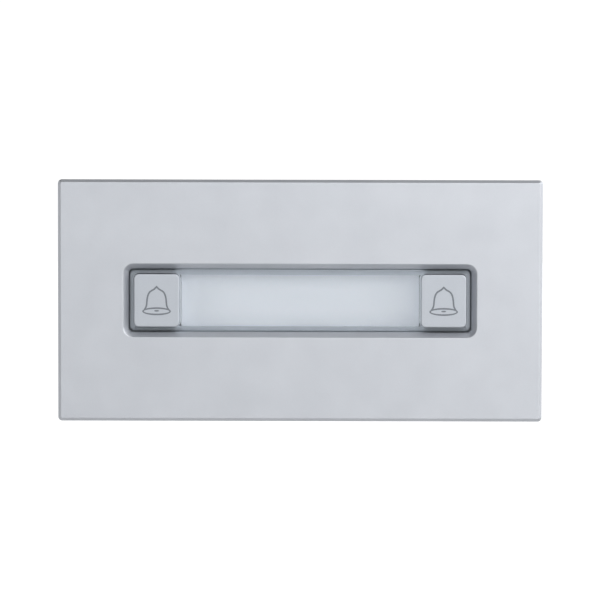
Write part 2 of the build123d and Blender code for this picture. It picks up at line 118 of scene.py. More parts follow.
def link(owner, source, target):
    """Links two sockets in a material's or the world's node tree."""
    owner.node_tree.links.new(source, target)


def noise(mat, size, detail=2.0, distortion=0.0):
    """Noise with features of about this size in metres, in the object's own space."""
    place = add_node(mat, "ShaderNodeTexCoord")
    tex = add_node(mat, "ShaderNodeTexNoise", Scale=1 / size, Detail=detail)
    tex.inputs["Distortion"].default_value = distortion
    link(mat, place.outputs["Object"], tex.inputs["Vector"])
    return tex.outputs["Fac"]


def spread(mat, value, low, high, start=0.3, end=0.7):
    """Maps a 0 to 1 value between two numbers."""
    node = add_node(mat, "ShaderNodeMapRange")
    for socket, number in zip(node.inputs[1:5], (start, end, low, high)):
        socket.default_value = number
    link(mat, value, node.inputs["Value"])
    return node.outputs["Result"]


def tint(mat, value, low, high, start=0.3, end=0.7):
    """Ramp between two colours."""
    ramp = add_node(mat, "ShaderNodeValToRGB")
    for element, place, colour in zip(ramp.color_ramp.elements, (start, end), (low, high)):
        element.position = place
        element.color = (*colour, 1)
    link(mat, value, ramp.inputs["Fac"])
    link(mat, ramp.outputs["Color"], shader_of(mat).inputs["Base Color"])


def bump(mat, value, height, strength=1.0, after=None):
    """Bump of this height in metres, on top of an earlier bump."""
    node = add_node(mat, "ShaderNodeBump", Strength=strength, Distance=height)
    link(mat, value, node.inputs["Height"])
    if after:
        link(mat, after.outputs["Normal"], node.inputs["Normal"])
    link(mat, node.outputs["Normal"], shader_of(mat).inputs["Normal"])
    return node


def rough(mat, value, low, high):
    """Roughness between two numbers."""
    link(mat, spread(mat, value, low, high), shader_of(mat).inputs["Roughness"])


def blasted_metal():
    """Bead-blasted, clear-anodised aluminium: dull sheen with a fine pitted grain."""
    mat = new_material("blasted_metal", Metallic=1.0, Specular_IOR_Level=0.5)
    fine = noise(mat, 0.16 * MM, 3)
    cloud = noise(mat, 9 * MM, 2)
    tint(mat, cloud, (0.580, 0.592, 0.624), (0.610, 0.622, 0.654))
    rough(mat, fine, 0.42, 0.52)
    pits = bump(mat, fine, 0.006 * MM)
    bump(mat, noise(mat, 0.5 * MM, 2), 0.004 * MM, 0.5, pits)
    return mat


def silver_lacquer():
    """Silver paint on the caps: flakes under a satin clear coat."""
    mat = new_material(
        "silver_lacquer", Metallic=0.75, Coat_Weight=0.25, Coat_Roughness=0.25
    )
    flake = noise(mat, 0.09 * MM, 2)
    tint(mat, flake, (0.488, 0.510, 0.548), (0.532, 0.554, 0.592))
    rough(mat, flake, 0.40, 0.50)
    bump(mat, flake, 0.003 * MM)
    return mat


def bell_ink():
    """Grey filler in the engraved bell lines."""
    mat = new_material("bell_ink", Roughness=0.6)
    grain = noise(mat, 0.12 * MM, 2)
    tint(mat, grain, (0.155, 0.168, 0.19), (0.195, 0.208, 0.232))
    bump(mat, grain, 0.004 * MM)
    return mat


def clear_plastic():
    """Polished clear moulding with a faint flow ripple."""
    mat = new_material("clear_plastic", Transmission_Weight=1.0, IOR=CLEAR_IOR)
    cloud = noise(mat, 3 * MM, 1)
    tint(mat, cloud, (0.975, 0.985, 0.99), (0.985, 0.992, 1.0))
    rough(mat, noise(mat, 0.4 * MM, 2), 0.015, 0.04)
    bump(mat, cloud, 0.003 * MM, 0.6)
    return mat


def bar_plastic():
    """Clear bar: polished window and satin-ground slopes, with painted light: emission on the
    walls beside the label strip's ends and a faint glow on faces turned sideways.
    """
    mat = new_material("bar_plastic", IOR=CLEAR_IOR)
    place = add_node(mat, "ShaderNodeTexCoord")
    split = add_node(mat, "ShaderNodeSeparateXYZ")
    link(mat, place.outputs["Normal"], split.inputs[0])
    flat = add_node(mat, "ShaderNodeMath", operation="ABSOLUTE")
    link(mat, split.outputs["Y"], flat.inputs[0])
    slope = spread(mat, flat.outputs[0], 1.0, 0.0, 0.90, 0.98)
    depth = add_node(mat, "ShaderNodeSeparateXYZ")
    link(mat, place.outputs["Object"], depth.inputs[0])
    low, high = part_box("window_bar")
    flange_start, rear_start, fade = low.y + 2.2 * MM, high.y - 0.2 * MM, 0.1 * MM
    flange = spread(mat, depth.outputs["Y"], 0.0, 1.0, flange_start, flange_start + fade)
    behind = spread(mat, depth.outputs["Y"], 1.0, 0.0, rear_start, rear_start + fade)
    ledge = add_node(mat, "ShaderNodeMath", operation="MULTIPLY")
    link(mat, flange, ledge.inputs[0])
    link(mat, behind, ledge.inputs[1])
    either = add_node(mat, "ShaderNodeMath", operation="MAXIMUM")
    link(mat, slope, either.inputs[0])
    link(mat, ledge.outputs[0], either.inputs[1])
    ground = either.outputs[0]
    grain = noise(mat, 0.12 * MM, 3)
    tint(mat, ground, (0.985, 0.992, 1.0), (0.41, 0.445, 0.485), 0.0, 1.0)
    shader = shader_of(mat)
    link(mat, spread(mat, ground, 1.0, 0.5, 0.0, 1.0), shader.inputs["Transmission Weight"])
    link(mat, spread(mat, ground, 0.02, 0.42, 0.0, 1.0), shader.inputs["Roughness"])
    fine = bump(mat, noise(mat, 3 * MM, 1), 0.0015 * MM, 0.6)
    across = add_node(mat, "ShaderNodeMath", operation="ABSOLUTE")
    link(mat, depth.outputs["X"], across.inputs[0])
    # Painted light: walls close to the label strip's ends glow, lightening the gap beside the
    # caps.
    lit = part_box("label_strip")[1].x
    near = spread(mat, across.outputs[0], 1.0, 0.0, lit - 0.2 * MM, lit + 1.6 * MM)
    painted_wall_glow = spread(mat, flat.outputs[0], 0.52, 0.0, 0.1, 0.4)
    glow = add_node(mat, "ShaderNodeMath", operation="MULTIPLY")
    link(mat, near, glow.inputs[0])
    link(mat, painted_wall_glow, glow.inputs[1])
    # Painted light: a faint glow on every face turned left or right.
    sideways = add_node(mat, "ShaderNodeMath", operation="ABSOLUTE")
    link(mat, split.outputs["X"], sideways.inputs[0])
    painted_edge_glow = add_node(mat, "ShaderNodeMath", operation="ADD")
    link(mat, glow.outputs[0], painted_edge_glow.inputs[0])
    link(mat, spread(mat, sideways.outputs[0], 0.0, 0.065, 0.2, 0.5), painted_edge_glow.inputs[1])
    link(mat, painted_edge_glow.outputs[0], shader.inputs["Emission Strength"])
    shader.inputs["Emission Color"].default_value = BAR_PAINTED_GLOW
    soft = add_node(mat, "ShaderNodeMath", operation="MULTIPLY")
    link(mat, ground, soft.inputs[0])
    link(mat, grain, soft.inputs[1])
    bump(mat, soft.outputs[0], 0.006 * MM, 0.8, fine)
    return mat


def label_film():
    """Matt white film with a painted backlight glow: emission brightest in the middle, dimmer
    towards the ends and edges.
    """
    mat = new_material("label_film", Roughness=0.55, Subsurface_Weight=0.15)
    shader = shader_of(mat)
    shader.inputs["Subsurface Radius"].default_value = (0.4 * MM,) * 3
    fibre = noise(mat, 0.25 * MM, 3)
    tint(mat, fibre, (0.87, 0.90, 0.955), (0.89, 0.92, 0.97))
    place = add_node(mat, "ShaderNodeTexCoord")
    split = add_node(mat, "ShaderNodeSeparateXYZ")
    link(mat, place.outputs["Object"], split.inputs[0])
    # Painted light: the glow fades from the middle towards the ends and the top and bottom edges.
    glow = add_node(mat, "ShaderNodeMath", operation="MULTIPLY")
    falls = (("X", 13 * MM, 24 * MM, 0.32), ("Z", 2 * MM, 6 * MM, 0.50))
    for socket, (axis, near, far, least) in zip(glow.inputs, falls):
        away = add_node(mat, "ShaderNodeMath", operation="ABSOLUTE")
        link(mat, split.outputs[axis], away.inputs[0])
        link(mat, spread(mat, away.outputs[0], 1.0, least, near, far), socket)
    strength = add_node(mat, "ShaderNodeMath", operation="MULTIPLY")
    strength.inputs[1].default_value = 0.17
    link(mat, glow.outputs[0], strength.inputs[0])
    link(mat, strength.outputs[0], shader.inputs["Emission Strength"])
    shader.inputs["Emission Color"].default_value = WINDOW_PAINTED_GLOW
    bump(mat, fibre, 0.002 * MM)
    return mat


def printed_label():
    """Pale satin label film with a thin printed keyline inside its edge, no lettering."""
    mat = new_material("sticker")
    low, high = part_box("rating_label")
    place = add_node(mat, "ShaderNodeTexCoord")
    split = add_node(mat, "ShaderNodeSeparateXYZ")
    link(mat, place.outputs["Object"], split.inputs[0])
    reach = add_node(mat, "ShaderNodeMath", operation="MAXIMUM")
    spans = (("X", low.x, high.x), ("Z", low.z, high.z))
    for socket, (axis, start, end) in zip(reach.inputs, spans):
        shift = add_node(mat, "ShaderNodeMath", operation="SUBTRACT")
        shift.inputs[1].default_value = (start + end) / 2
        link(mat, split.outputs[axis], shift.inputs[0])
        away = add_node(mat, "ShaderNodeMath", operation="ABSOLUTE")
        link(mat, shift.outputs[0], away.inputs[0])
        past = add_node(mat, "ShaderNodeMath", operation="SUBTRACT")
        past.inputs[1].default_value = (end - start) / 2
        link(mat, away.outputs[0], past.inputs[0])
        link(mat, past.outputs[0], socket)
    line = add_node(mat, "ShaderNodeMath", operation="COMPARE")
    line.inputs[1].default_value = -1.2 * MM
    line.inputs[2].default_value = 0.12 * MM
    link(mat, reach.outputs[0], line.inputs[0])
    tint(mat, line.outputs[0], (0.66, 0.66, 0.65), (0.20, 0.21, 0.22), 0.0, 1.0)
    grain = noise(mat, 0.3 * MM, 2)
    rough(mat, grain, 0.38, 0.5)
    bump(mat, grain, 0.002 * MM)
    return mat


def grey_rubber():
    """Pale grey silicone gasket with a fine skin."""
    mat = new_material("grey_rubber", Specular_IOR_Level=0.35)
    grain = noise(mat, 0.3 * MM, 3)
    tint(mat, grain, (0.24, 0.25, 0.265), (0.30, 0.31, 0.33))
    rough(mat, grain, 0.6, 0.8)
    bump(mat, grain, 0.01 * MM)
    return mat


def silicone():
    """Translucent grey silicone of the button boots."""
    mat = new_material("silicone", Subsurface_Weight=0.5, Specular_IOR_Level=0.4)
    shader_of(mat).inputs["Subsurface Radius"].default_value = (0.8 * MM,) * 3
    haze = noise(mat, 0.6 * MM, 3)
    tint(mat, haze, (0.40, 0.41, 0.42), (0.48, 0.49, 0.50))
    rough(mat, haze, 0.45, 0.6)
    bump(mat, haze, 0.006 * MM)
    return mat


def textured_black():
    """Charcoal housing plastic with a spark-eroded mould texture."""
    mat = new_material("textured_black", Specular_IOR_Level=0.5)
    pits = noise(mat, 0.28 * MM, 4, distortion=0.4)
    tint(mat, pits, (0.028, 0.029, 0.033), (0.048, 0.050, 0.056))
    rough(mat, pits, 0.48, 0.66)
    low = bump(mat, pits, 0.02 * MM)
    bump(mat, noise(mat, 6 * MM, 1), 0.02 * MM, 0.4, low)
    return mat


def opal_plastic():
    """Milky light guide."""
    mat = new_material("opal_plastic", Subsurface_Weight=0.6, Roughness=0.35)
    shader_of(mat).inputs["Subsurface Radius"].default_value = (1.5 * MM,) * 3
    haze = noise(mat, 1.2 * MM, 2)
    tint(mat, haze, (0.80, 0.81, 0.80), (0.86, 0.87, 0.86))
    bump(mat, haze, 0.003 * MM)
    return mat


def plain_moulding(name, colour, roughness, grain_size=0.3, height=0.006):
    """Moulded or pressed part: mottled colour, fine grain."""
    mat = new_material(name)
    grain = noise(mat, grain_size * MM, 3)
    tint(mat, grain, tuple(c * 0.88 for c in colour), tuple(c * 1.1 for c in colour))
    rough(mat, grain, roughness - 0.06, roughness + 0.08)
    bump(mat, grain, height * MM)
    return mat


def bare_metal(name, colour, roughness):
    """Plated or turned metal with fine tool marks."""
    mat = new_material(name, Metallic=1.0)
    marks = noise(mat, 0.2 * MM, 3)
    tint(mat, marks, tuple(c * 0.9 for c in colour), colour)
    rough(mat, marks, roughness - 0.07, roughness + 0.1)
    bump(mat, marks, 0.004 * MM)
    return mat


def solder_mask():
    """Green board lacquer with copper tracks showing through as paler lines."""
    mat = new_material("solder_mask", Coat_Weight=0.4, Coat_Roughness=0.15)
    weave = noise(mat, 0.4 * MM, 2)
    place = add_node(mat, "ShaderNodeTexCoord")
    tracks = add_node(
        mat, "ShaderNodeTexVoronoi", Scale=1 / (3.2 * MM), distance="MANHATTAN"
    )
    tracks.feature = "F2"
    link(mat, place.outputs["Object"], tracks.inputs["Vector"])
    bands = add_node(mat, "ShaderNodeMath", operation="PINGPONG")
    bands.inputs[1].default_value = 0.12
    link(mat, tracks.outputs["Distance"], bands.inputs[0])
    tint(mat, bands.outputs[0], (0.028, 0.17, 0.07), (0.012, 0.085, 0.035), 0.03, 0.05)
    rough(mat, weave, 0.28, 0.42)
    raised = bump(mat, bands.outputs[0], 0.03 * MM, 0.5)
    bump(mat, weave, 0.01 * MM, 0.5, raised)
    return mat


MATERIALS = {
    "plate_metal": blasted_metal(),
    "cap_paint": silver_lacquer(),
    "bell_ink": bell_ink(),
    "clear_plastic": clear_plastic(),
    "label_film": label_film(),
    "seal_rubber": grey_rubber(),
    "silicone": silicone(),
    "frame_plastic": textured_black(),
    "opal_plastic": opal_plastic(),
    "led_body": plain_moulding("led_body", (0.80, 0.79, 0.70), 0.4),
    "board": solder_mask(),
    "chip_epoxy": plain_moulding("chip_epoxy", (0.025, 0.025, 0.028), 0.6),
    "capacitor_can": bare_metal("capacitor_can", (0.78, 0.79, 0.80), 0.3),
    "ferrite": plain_moulding("ferrite", (0.07, 0.07, 0.075), 0.6),
    "resistor_body": plain_moulding("resistor_body", (0.04, 0.04, 0.045), 0.5),
    "socket_plastic": plain_moulding("socket_plastic", (0.03, 0.03, 0.032), 0.5),
    "tinned_pin": bare_metal("tinned_pin", (0.78, 0.75, 0.66), 0.25),
    "switch_plastic": plain_moulding("switch_plastic", (0.03, 0.03, 0.035), 0.5),
    "switch_steel": bare_metal("switch_steel", (0.68, 0.68, 0.69), 0.3),
    "plunger_plastic": plain_moulding("plunger_plastic", (0.62, 0.58, 0.48), 0.4),
    "insert_brass": bare_metal("insert_brass", (0.80, 0.58, 0.25), 0.3),
    "zinc_steel": bare_metal("zinc_steel", (0.62, 0.64, 0.67), 0.32),
    "sticker": printed_label(),
}
PHOSPHOR = plain_moulding("phosphor", (0.85, 0.68, 0.12), 0.4)


# ---- Pieces: made from the CAD shapes with softened edges, or built new in their place ----
slots = {part["node"]: part["material_slot"] for part in frame["record"]["subparts"]}


def adopt(piece, slot, body, nodes=(), material=None):
    """Gives the piece its finish and the body it rides on, and hides the nodes it takes the place
    of.
    """
    piece.data.materials.clear()
    piece.data.materials.append(material or MATERIALS[slot])
    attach(piece, body)
    if nodes:
        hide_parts(*nodes)
    return piece


def body_of(node):
    """Name of the moving body that a CAD node belongs to."""
    return frame["nodes"][node]["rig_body"]


def finished(name, shape, bevel=None, segments=2, angle=24):
    """Object from a bmesh: rounded edges, then shading that keeps the flat faces flat."""
    bmesh.ops.recalc_face_normals(shape, faces=shape.faces)
    for face in shape.faces:
        face.smooth = True
    mesh = bpy.data.meshes.new(name)
    shape.to_mesh(mesh)
    shape.free()
    piece = bpy.data.objects.new(name, mesh)
    bpy.context.scene.collection.objects.link(piece)
    if not bevel:
        mesh.set_sharp_from_angle(angle=math.radians(35))
        return piece
    edges = piece.modifiers.new("edges", "BEVEL")
    edges.width = bevel * MM
    edges.segments = segments
    edges.limit_method = "ANGLE"
    edges.angle_limit = math.radians(angle)
    edges.use_clamp_overlap = True
    edges.face_strength_mode = "FSTR_ALL"
    normals = piece.modifiers.new("normals", "WEIGHTED_NORMAL")
    normals.keep_sharp = False
    normals.use_face_influence = True
    graph = bpy.context.evaluated_depsgraph_get()
    final = bpy.data.meshes.new_from_object(piece.evaluated_get(graph))
    piece.modifiers.clear()
    piece.data = final
    return piece


def cleaned(node):
    """bmesh of a CAD node with its flat faces made whole."""
    shape = bmesh.new()
    shape.from_mesh(frame["nodes"][node].data)
    bmesh.ops.remove_doubles(shape, verts=shape.verts, dist=WELD)
    bmesh.ops.dissolve_limit(
        shape,
        angle_limit=math.radians(0.5),
        verts=shape.verts,
        edges=shape.edges,
        delimit={"NORMAL"},
    )
    return shape


def fine_piece(node, bevel, segments=2, material=None):
    """Copy of a CAD node's shape with its sharp edges rounded by this many millimetres."""
    piece = finished(f"{node}_fine", cleaned(node), bevel, segments)
    return adopt(piece, slots[node], body_of(node), [node], material)


BOX_FACES = (
    (0, 1, 3, 2),
    (4, 6, 7, 5),
    (0, 4, 5, 1),
    (2, 3, 7, 6),
    (0, 2, 6, 4),
    (1, 5, 7, 3),
)


def add_hexahedron(shape, corners):
    """Six-sided solid over eight corners, the last of three choices changing fastest."""
    points = [shape.verts.new(corner) for corner in corners]
    for face in BOX_FACES:
        shape.faces.new([points[n] for n in face])


def add_box(shape, low, high):
    """Box between two opposite corners."""
    add_hexahedron(shape, itertools.product(*zip(low, high)))


def add_rings(shape, centre, rings, steps=48, closed=False):
    """Turned part round a Y axis at centre (x, z). Each ring is (y, radius of angle or number)."""
    rows = []
    for y, radius in rings:
        row = []
        for n in range(steps):
            angle = math.tau * n / steps
            r = radius(angle) if callable(radius) else radius
            place = (centre[0] + r * math.cos(angle), y, centre[1] + r * math.sin(angle))
            row.append(shape.verts.new(place))
        rows.append(row)
    pairs = list(zip(rows, rows[1:]))
    if closed:
        pairs.append((rows[-1], rows[0]))
    for a, b in pairs:
        for n in range(steps):
            m = (n + 1) % steps
            shape.faces.new((a[n], a[m], b[m], b[n]))
    if not closed:
        shape.faces.new(rows[0])
        shape.faces.new(rows[-1])


def zigzag(value):
    """0 to 1 and back, once for each whole number."""
    part = value % 1.0
    return 1 - abs(2 * part - 1)


def hexagon(apothem):
    """Radius of a hexagon by angle."""
    third = math.pi / 3
    return lambda angle: apothem / math.cos((angle + third / 2) % third - third / 2)


def thread(root, crest, pitch, y):
    """Radius by angle of a helical thread at height y."""
    return lambda angle: root + (crest - root) * zigzag(y / pitch + angle / math.tau)


def knurl(root, crest, count, lean):
    """Radius by angle of a knurled band, its ridges turned by lean."""
    return lambda angle: root + (crest - root) * zigzag(count * angle / math.tau + lean)


def four_places(node, radius):
    """The (x, z) centres of four turned parts of this radius at the node's corners."""
    low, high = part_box(node)
    return [
        (x, z)
        for x in (low.x + radius, high.x - radius)
        for z in (low.z + radius, high.z - radius)
    ]


# Head diameter and head height of each kind of screw, in millimetres.
SCREWS = {
    "frame_screws": (5.6, 1.8),
    "board_screws": (4.4, 1.6),
    "cover_screws": (4.6, 1.9),
}


def make_screws(node, head, height):
    """Four thread-forming screws: pointed helical thread, domed head with a hex socket."""
    low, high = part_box(node)
    seat = high.y - height * MM
    head_radius = head / 2 * MM
    root, crest = 0.98 * MM, 1.2 * MM
    pitch, point = 0.8 * MM, 1.2 * MM
    tip, crown = 0.35, 0.72
    socket, depth = 1.03 * MM, 0.9 * MM
    rim, lead_in = 0.06 * MM, 0.08 * MM
    rings_per_turn, dome_rings = 6, 6
    shape = bmesh.new()
    for centre in four_places(node, head_radius):
        rings = []
        count = round((seat - low.y) / (pitch / rings_per_turn))
        for n in range(count + 1):
            y = low.y + (seat - low.y) * n / count
            taper = min(1.0, tip + (1 - tip) * (y - low.y) / point)
            rings.append((y, thread(root * taper, crest * taper, pitch, y)))
        rings.append((seat, head_radius * 0.99))
        rings.append((seat + rim, head_radius))
        dome = seat + height * MM * 0.45
        for n in range(dome_rings + 1):
            turn = n / dome_rings * math.pi / 2
            rise = dome + (high.y - dome) * math.sin(turn)
            rings.append((rise, head_radius * (crown + (1 - crown) * math.cos(turn))))
        rings.append((high.y, hexagon(socket * 1.08)))
        rings.append((high.y - lead_in, hexagon(socket)))
        rings.append((high.y - depth * 0.8, hexagon(socket)))
        rings.append((high.y - depth, 0.35 * MM))
        add_rings(shape, centre, rings)
    adopt(finished(f"{node}_fine", shape), slots[node], body_of(node), [node])


def make_inserts(node="mounting_inserts"):
    """Heat-set brass inserts: crossed knurl, plain waist, threaded bore with a countersink."""
    low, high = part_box(node)
    outer, bore = 2.3 * MM, 1.25 * MM
    edge, groove, waist = 0.25 * MM, 0.14 * MM, outer - 0.3 * MM
    length = high.y - low.y
    first, second, band = 0.08 * length, 0.62 * length, 0.3 * length
    ridges, ridge_lead, band_steps = 16, 2.4 * MM, 4
    thread_rings, pitch, thread_depth = 88, 0.5 * MM, 0.24 * MM
    shape = bmesh.new()
    for centre in four_places(node, outer):
        rings = [(low.y, outer - edge), (low.y + edge, outer - 0.12 * MM)]
        for start, twist in ((first, 1), (second, -1)):
            for n in range(band_steps + 1):
                y = low.y + start + band * n / band_steps
                lean = twist * (y - low.y) / ridge_lead
                rings.append((y, knurl(outer - groove, outer, ridges, lean)))
            if start == first:
                rings.append((low.y + first + band + 0.1 * MM, waist))
                rings.append((low.y + second - 0.1 * MM, waist))
        rings.append((high.y - 0.3 * MM, outer - 0.1 * MM))
        rings.append((high.y - 0.02 * MM, outer - 0.16 * MM))
        rings.append((high.y, outer - edge))
        rings.append((high.y, bore + 0.4 * MM))
        for n in range(thread_rings + 1):
            y = high.y - 0.35 * MM - (length - 0.5 * MM) * n / thread_rings
            rings.append((y, thread(bore + 0.01 * MM, bore + thread_depth, pitch, y)))
        add_rings(shape, centre, rings, steps=64, closed=True)
    adopt(finished(f"{node}_fine", shape), slots[node], body_of(node), [node])


def make_capacitor(node="storage_capacitor"):
    """Can capacitor: plastic foot with clipped corners, crimped can with a scored top."""
    low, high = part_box(node)
    centre = ((low.x + high.x) / 2, (low.z + high.z) / 2)
    half = (high.x - low.x) / 2
    radius = 3.15 * MM
    foot = low.y + 0.9 * MM
    shape = bmesh.new()
    crimp = foot + 1.3 * MM
    profile = [
        (foot - 0.02 * MM, radius - 0.25 * MM),
        (foot, radius - 0.02 * MM),
        (crimp - 0.5 * MM, radius),
        (crimp - 0.25 * MM, radius - 0.06 * MM),
        (crimp, radius - 0.28 * MM),
        (crimp + 0.25 * MM, radius - 0.06 * MM),
        (crimp + 0.5 * MM, radius),
        (high.y - 0.4 * MM, radius),
        (high.y - 0.2 * MM, radius - 0.05 * MM),
        (high.y - 0.05 * MM, radius - 0.2 * MM),
        (high.y, radius - 0.4 * MM),
        (high.y, radius - 0.7 * MM),
        (high.y - 0.05 * MM, radius - 0.75 * MM),
        (high.y - 0.05 * MM, 0.1 * MM),
    ]
    add_rings(shape, centre, profile, steps=64)
    adopt(finished(f"{node}_fine", shape), slots[node], body_of(node), [node])
    base = bmesh.new()
    clip = 1.3 * MM
    outline = [
        (-half, -half),
        (half, -half),
        (half, half - clip),
        (half - clip, half),
        (clip - half, half),
        (-half, half - clip),
    ]
    add_prism(base, [(centre[0] + x, centre[1] + z) for x, z in outline], low.y, foot)
    adopt(finished("capacitor_foot", base, 0.08), "chip_epoxy", body_of(node))


def add_prism(shape, outline, near, far):
    """Straight prism along Y over an (x, z) outline."""
    rows = [[shape.verts.new((x, y, z)) for x, z in outline] for y in (near, far)]
    count = len(outline)
    for n in range(count):
        m = (n + 1) % count
        shape.faces.new((rows[0][n], rows[0][m], rows[1][m], rows[1][n]))
    shape.faces.new(rows[0])
    shape.faces.new(rows[1])


def add_lead(shape, root, outward, rise, width):
    """Gull-wing lead from root (x, z) on the board at y, standing out along outward."""
    x, y, z = root
    sheet = 0.12 * MM
    reach = 0.85 * MM
    path = [(0, rise), (0.3 * reach, rise), (0.55 * reach, 0), (reach, 0)]
    side = (outward[1], outward[0])
    half = width / 2
    for run in zip(path, path[1:]):
        corners = []
        for (d, h), lift, across in itertools.product(run, (0, sheet), (-half, half)):
            along_x = outward[0] * d + side[0] * across
            along_z = outward[1] * d + side[1] * across
            corners.append((x + along_x, y + h + lift, z + along_z))
        add_hexahedron(shape, corners)


def make_chip(node, sides, count, pitch):
    """Moulded chip raised on gull-wing leads."""
    low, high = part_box(node)
    middle = (low + high) / 2
    shape = bmesh.new()
    inset = 0.5 * MM
    draft = 0.12 * MM
    width, height = (high.x - low.x) / 2, (high.z - low.z) / 2
    if sides == "xz":
        width, height = width - inset, height - inset
    belt = low.y + (high.y - low.y) * 0.5
    levels = ((low.y + 0.1 * MM, draft), (belt, 0.0), (high.y, draft))
    rows = []
    for y, tuck in levels:
        row = []
        for sx, sz in ((-1, -1), (1, -1), (1, 1), (-1, 1)):
            place = (middle.x + sx * (width - tuck), y, middle.z + sz * (height - tuck))
            row.append(shape.verts.new(place))
        rows.append(row)
    for a, b in zip(rows, rows[1:]):
        for n in range(4):
            m = (n + 1) % 4
            shape.faces.new((a[n], a[m], b[m], b[n]))
    shape.faces.new(rows[0])
    shape.faces.new(rows[-1])
    adopt(finished(f"{node}_fine", shape, 0.06, 2, 12), slots[node], body_of(node), [node])
    leads = bmesh.new()
    ways = [((0, -1), height), ((0, 1), height)]
    if sides == "xz":
        ways += [((-1, 0), width), ((1, 0), width)]
    for outward, half in ways:
        for n in range(count):
            along = (n - (count - 1) / 2) * pitch * MM
            root = (
                middle.x + outward[0] * (half - 0.1 * MM) + outward[1] * along,
                low.y,
                middle.z + outward[1] * (half - 0.1 * MM) + outward[0] * along,
            )
            add_lead(leads, root, outward, belt - low.y, 0.45 * pitch * MM)
    adopt(finished(f"{node}_leads", leads), "tinned_pin", body_of(node))


def make_resistor_ends(node="chip_resistors"):
    """Tinned end caps wrapped round each chip resistor."""
    shape = bmesh.new()
    loose = bmesh.new()
    loose.from_mesh(frame["nodes"][node].data)
    bmesh.ops.remove_doubles(loose, verts=loose.verts, dist=WELD)
    seen = set()
    for vert in loose.verts:
        if vert in seen:
            continue
        group, front = [], [vert]
        seen.add(vert)
        while front:
            here = front.pop()
            group.append(here.co.copy())
            for edge in here.link_edges:
                other = edge.other_vert(here)
                if other not in seen:
                    seen.add(other)
                    front.append(other)
        low = Vector(min(c[n] for c in group) for n in range(3))
        high = Vector(max(c[n] for c in group) for n in range(3))
        cap, lap = 0.3 * MM, 0.025 * MM
        for x0, x1 in ((low.x - lap, low.x + cap), (high.x - cap, high.x + lap)):
            add_box(shape, (x0, low.y, low.z - lap), (x1, high.y + lap, high.z + lap))
    loose.free()
    adopt(finished("chip_resistor_ends", shape, 0.02, 1), "tinned_pin", body_of(node))


def make_coil(node="power_inductor"):
    """Shielded coil: open ferrite frame with the wound bobbin showing in its middle."""
    low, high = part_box(node)
    centre = ((low.x + high.x) / 2, (low.z + high.z) / 2)
    shape = cleaned(node)
    fine = finished(f"{node}_fine", shape, 0.15)
    adopt(fine, slots[node], body_of(node), [node])
    bobbin = bmesh.new()
    rings = [(high.y - 0.4 * MM, 2.1 * MM), (high.y + 0.02 * MM, 2.1 * MM)]
    rings += [(high.y + 0.1 * MM, 2.0 * MM), (high.y + 0.1 * MM, 1.2 * MM)]
    rings += [(high.y + 0.02 * MM, 1.1 * MM), (high.y + 0.02 * MM, 0.1 * MM)]
    add_rings(bobbin, centre, rings)
    adopt(finished("inductor_bobbin", bobbin), "ferrite", body_of(node))


def make_rivets():
    """Four melted studs that hold each switch's steel cover."""
    for side in ("left", "right"):
        node = f"switch_cover_{side}"
        low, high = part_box(node)
        centre = ((low.x + high.x) / 2, (low.z + high.z) / 2)
        shape = bmesh.new()
        reach = 2.35 * MM
        for sx in (-1, 1):
            for sz in (-1, 1):
                place = (centre[0] + sx * reach, centre[1] + sz * reach)
                rings = [(low.y + 0.05 * MM, 0.42 * MM), (low.y - 0.06 * MM, 0.40 * MM)]
                rings += [(low.y - 0.13 * MM, 0.28 * MM), (low.y - 0.15 * MM, 0.08 * MM)]
                add_rings(shape, place, rings, steps=20)
        piece = finished(f"switch_studs_{side}", shape)
        adopt(piece, "switch_plastic", body_of(node))


def make_led_lenses():
    """Yellow phosphor pool in each lamp's window."""
    for number in range(1, 5):
        node = f"backlight_led_{number}"
        low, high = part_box(node)
        middle = (low + high) / 2
        shape = bmesh.new()
        x, z = 1.18 * MM, 0.98 * MM
        top, floor = low.y + 0.03 * MM, low.y + 0.19 * MM
        add_box(shape, (middle.x - x, top, middle.z - z), (middle.x + x, floor, middle.z + z))
        piece = finished(f"{node}_phosphor", shape, 0.05)
        adopt(piece, "led_body", body_of(node), material=PHOSPHOR)


# Width in millimetres of the rounding on each piece's edges.
EDGES = {
    "front_plate": 0.07,
    "inner_frame": 0.12,
    "rear_cover": 0.16,
    "label_tray": 0.08,
    "tray_seal": 0.1,
    "bus_in_socket": 0.08,
    "bus_out_socket": 0.08,
    "light_guide": 0.1,
    "circuit_board": 0.05,
    "rating_label": 0.02,
    "plate_seal": 0.08,
    "cover_seal": 0.08,
    "chip_resistors": 0.03,
}
for number in range(1, 5):
    EDGES[f"backlight_led_{number}"] = 0.05
for side in ("left", "right"):
    EDGES[f"switch_base_{side}"] = 0.08
    EDGES[f"switch_cover_{side}"] = 0.04
    EDGES[f"switch_plunger_{side}"] = 0.12
for node, width in EDGES.items():
    fine_piece(node, width)
fine_piece("window_bar", 0.05, 2, bar_plastic())
for side in ("left", "right"):
    boot = fine_piece(f"button_boot_{side}", 0.12, 3)
    low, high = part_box(f"button_boot_{side}")
    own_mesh(boot)
for node, (head, height) in SCREWS.items():
    make_screws(node, head, height)
make_inserts()
make_capacitor()
make_coil()
make_chip("controller_chip", "xz", 12, 0.65)
make_chip("bus_driver_chip", "z", 4, 1.0)
make_resistor_ends()
make_rivets()
make_led_lenses()
for node, obj in frame["nodes"].items():
    for place in obj.material_slots:
        place.material = MATERIALS[slots[node]]


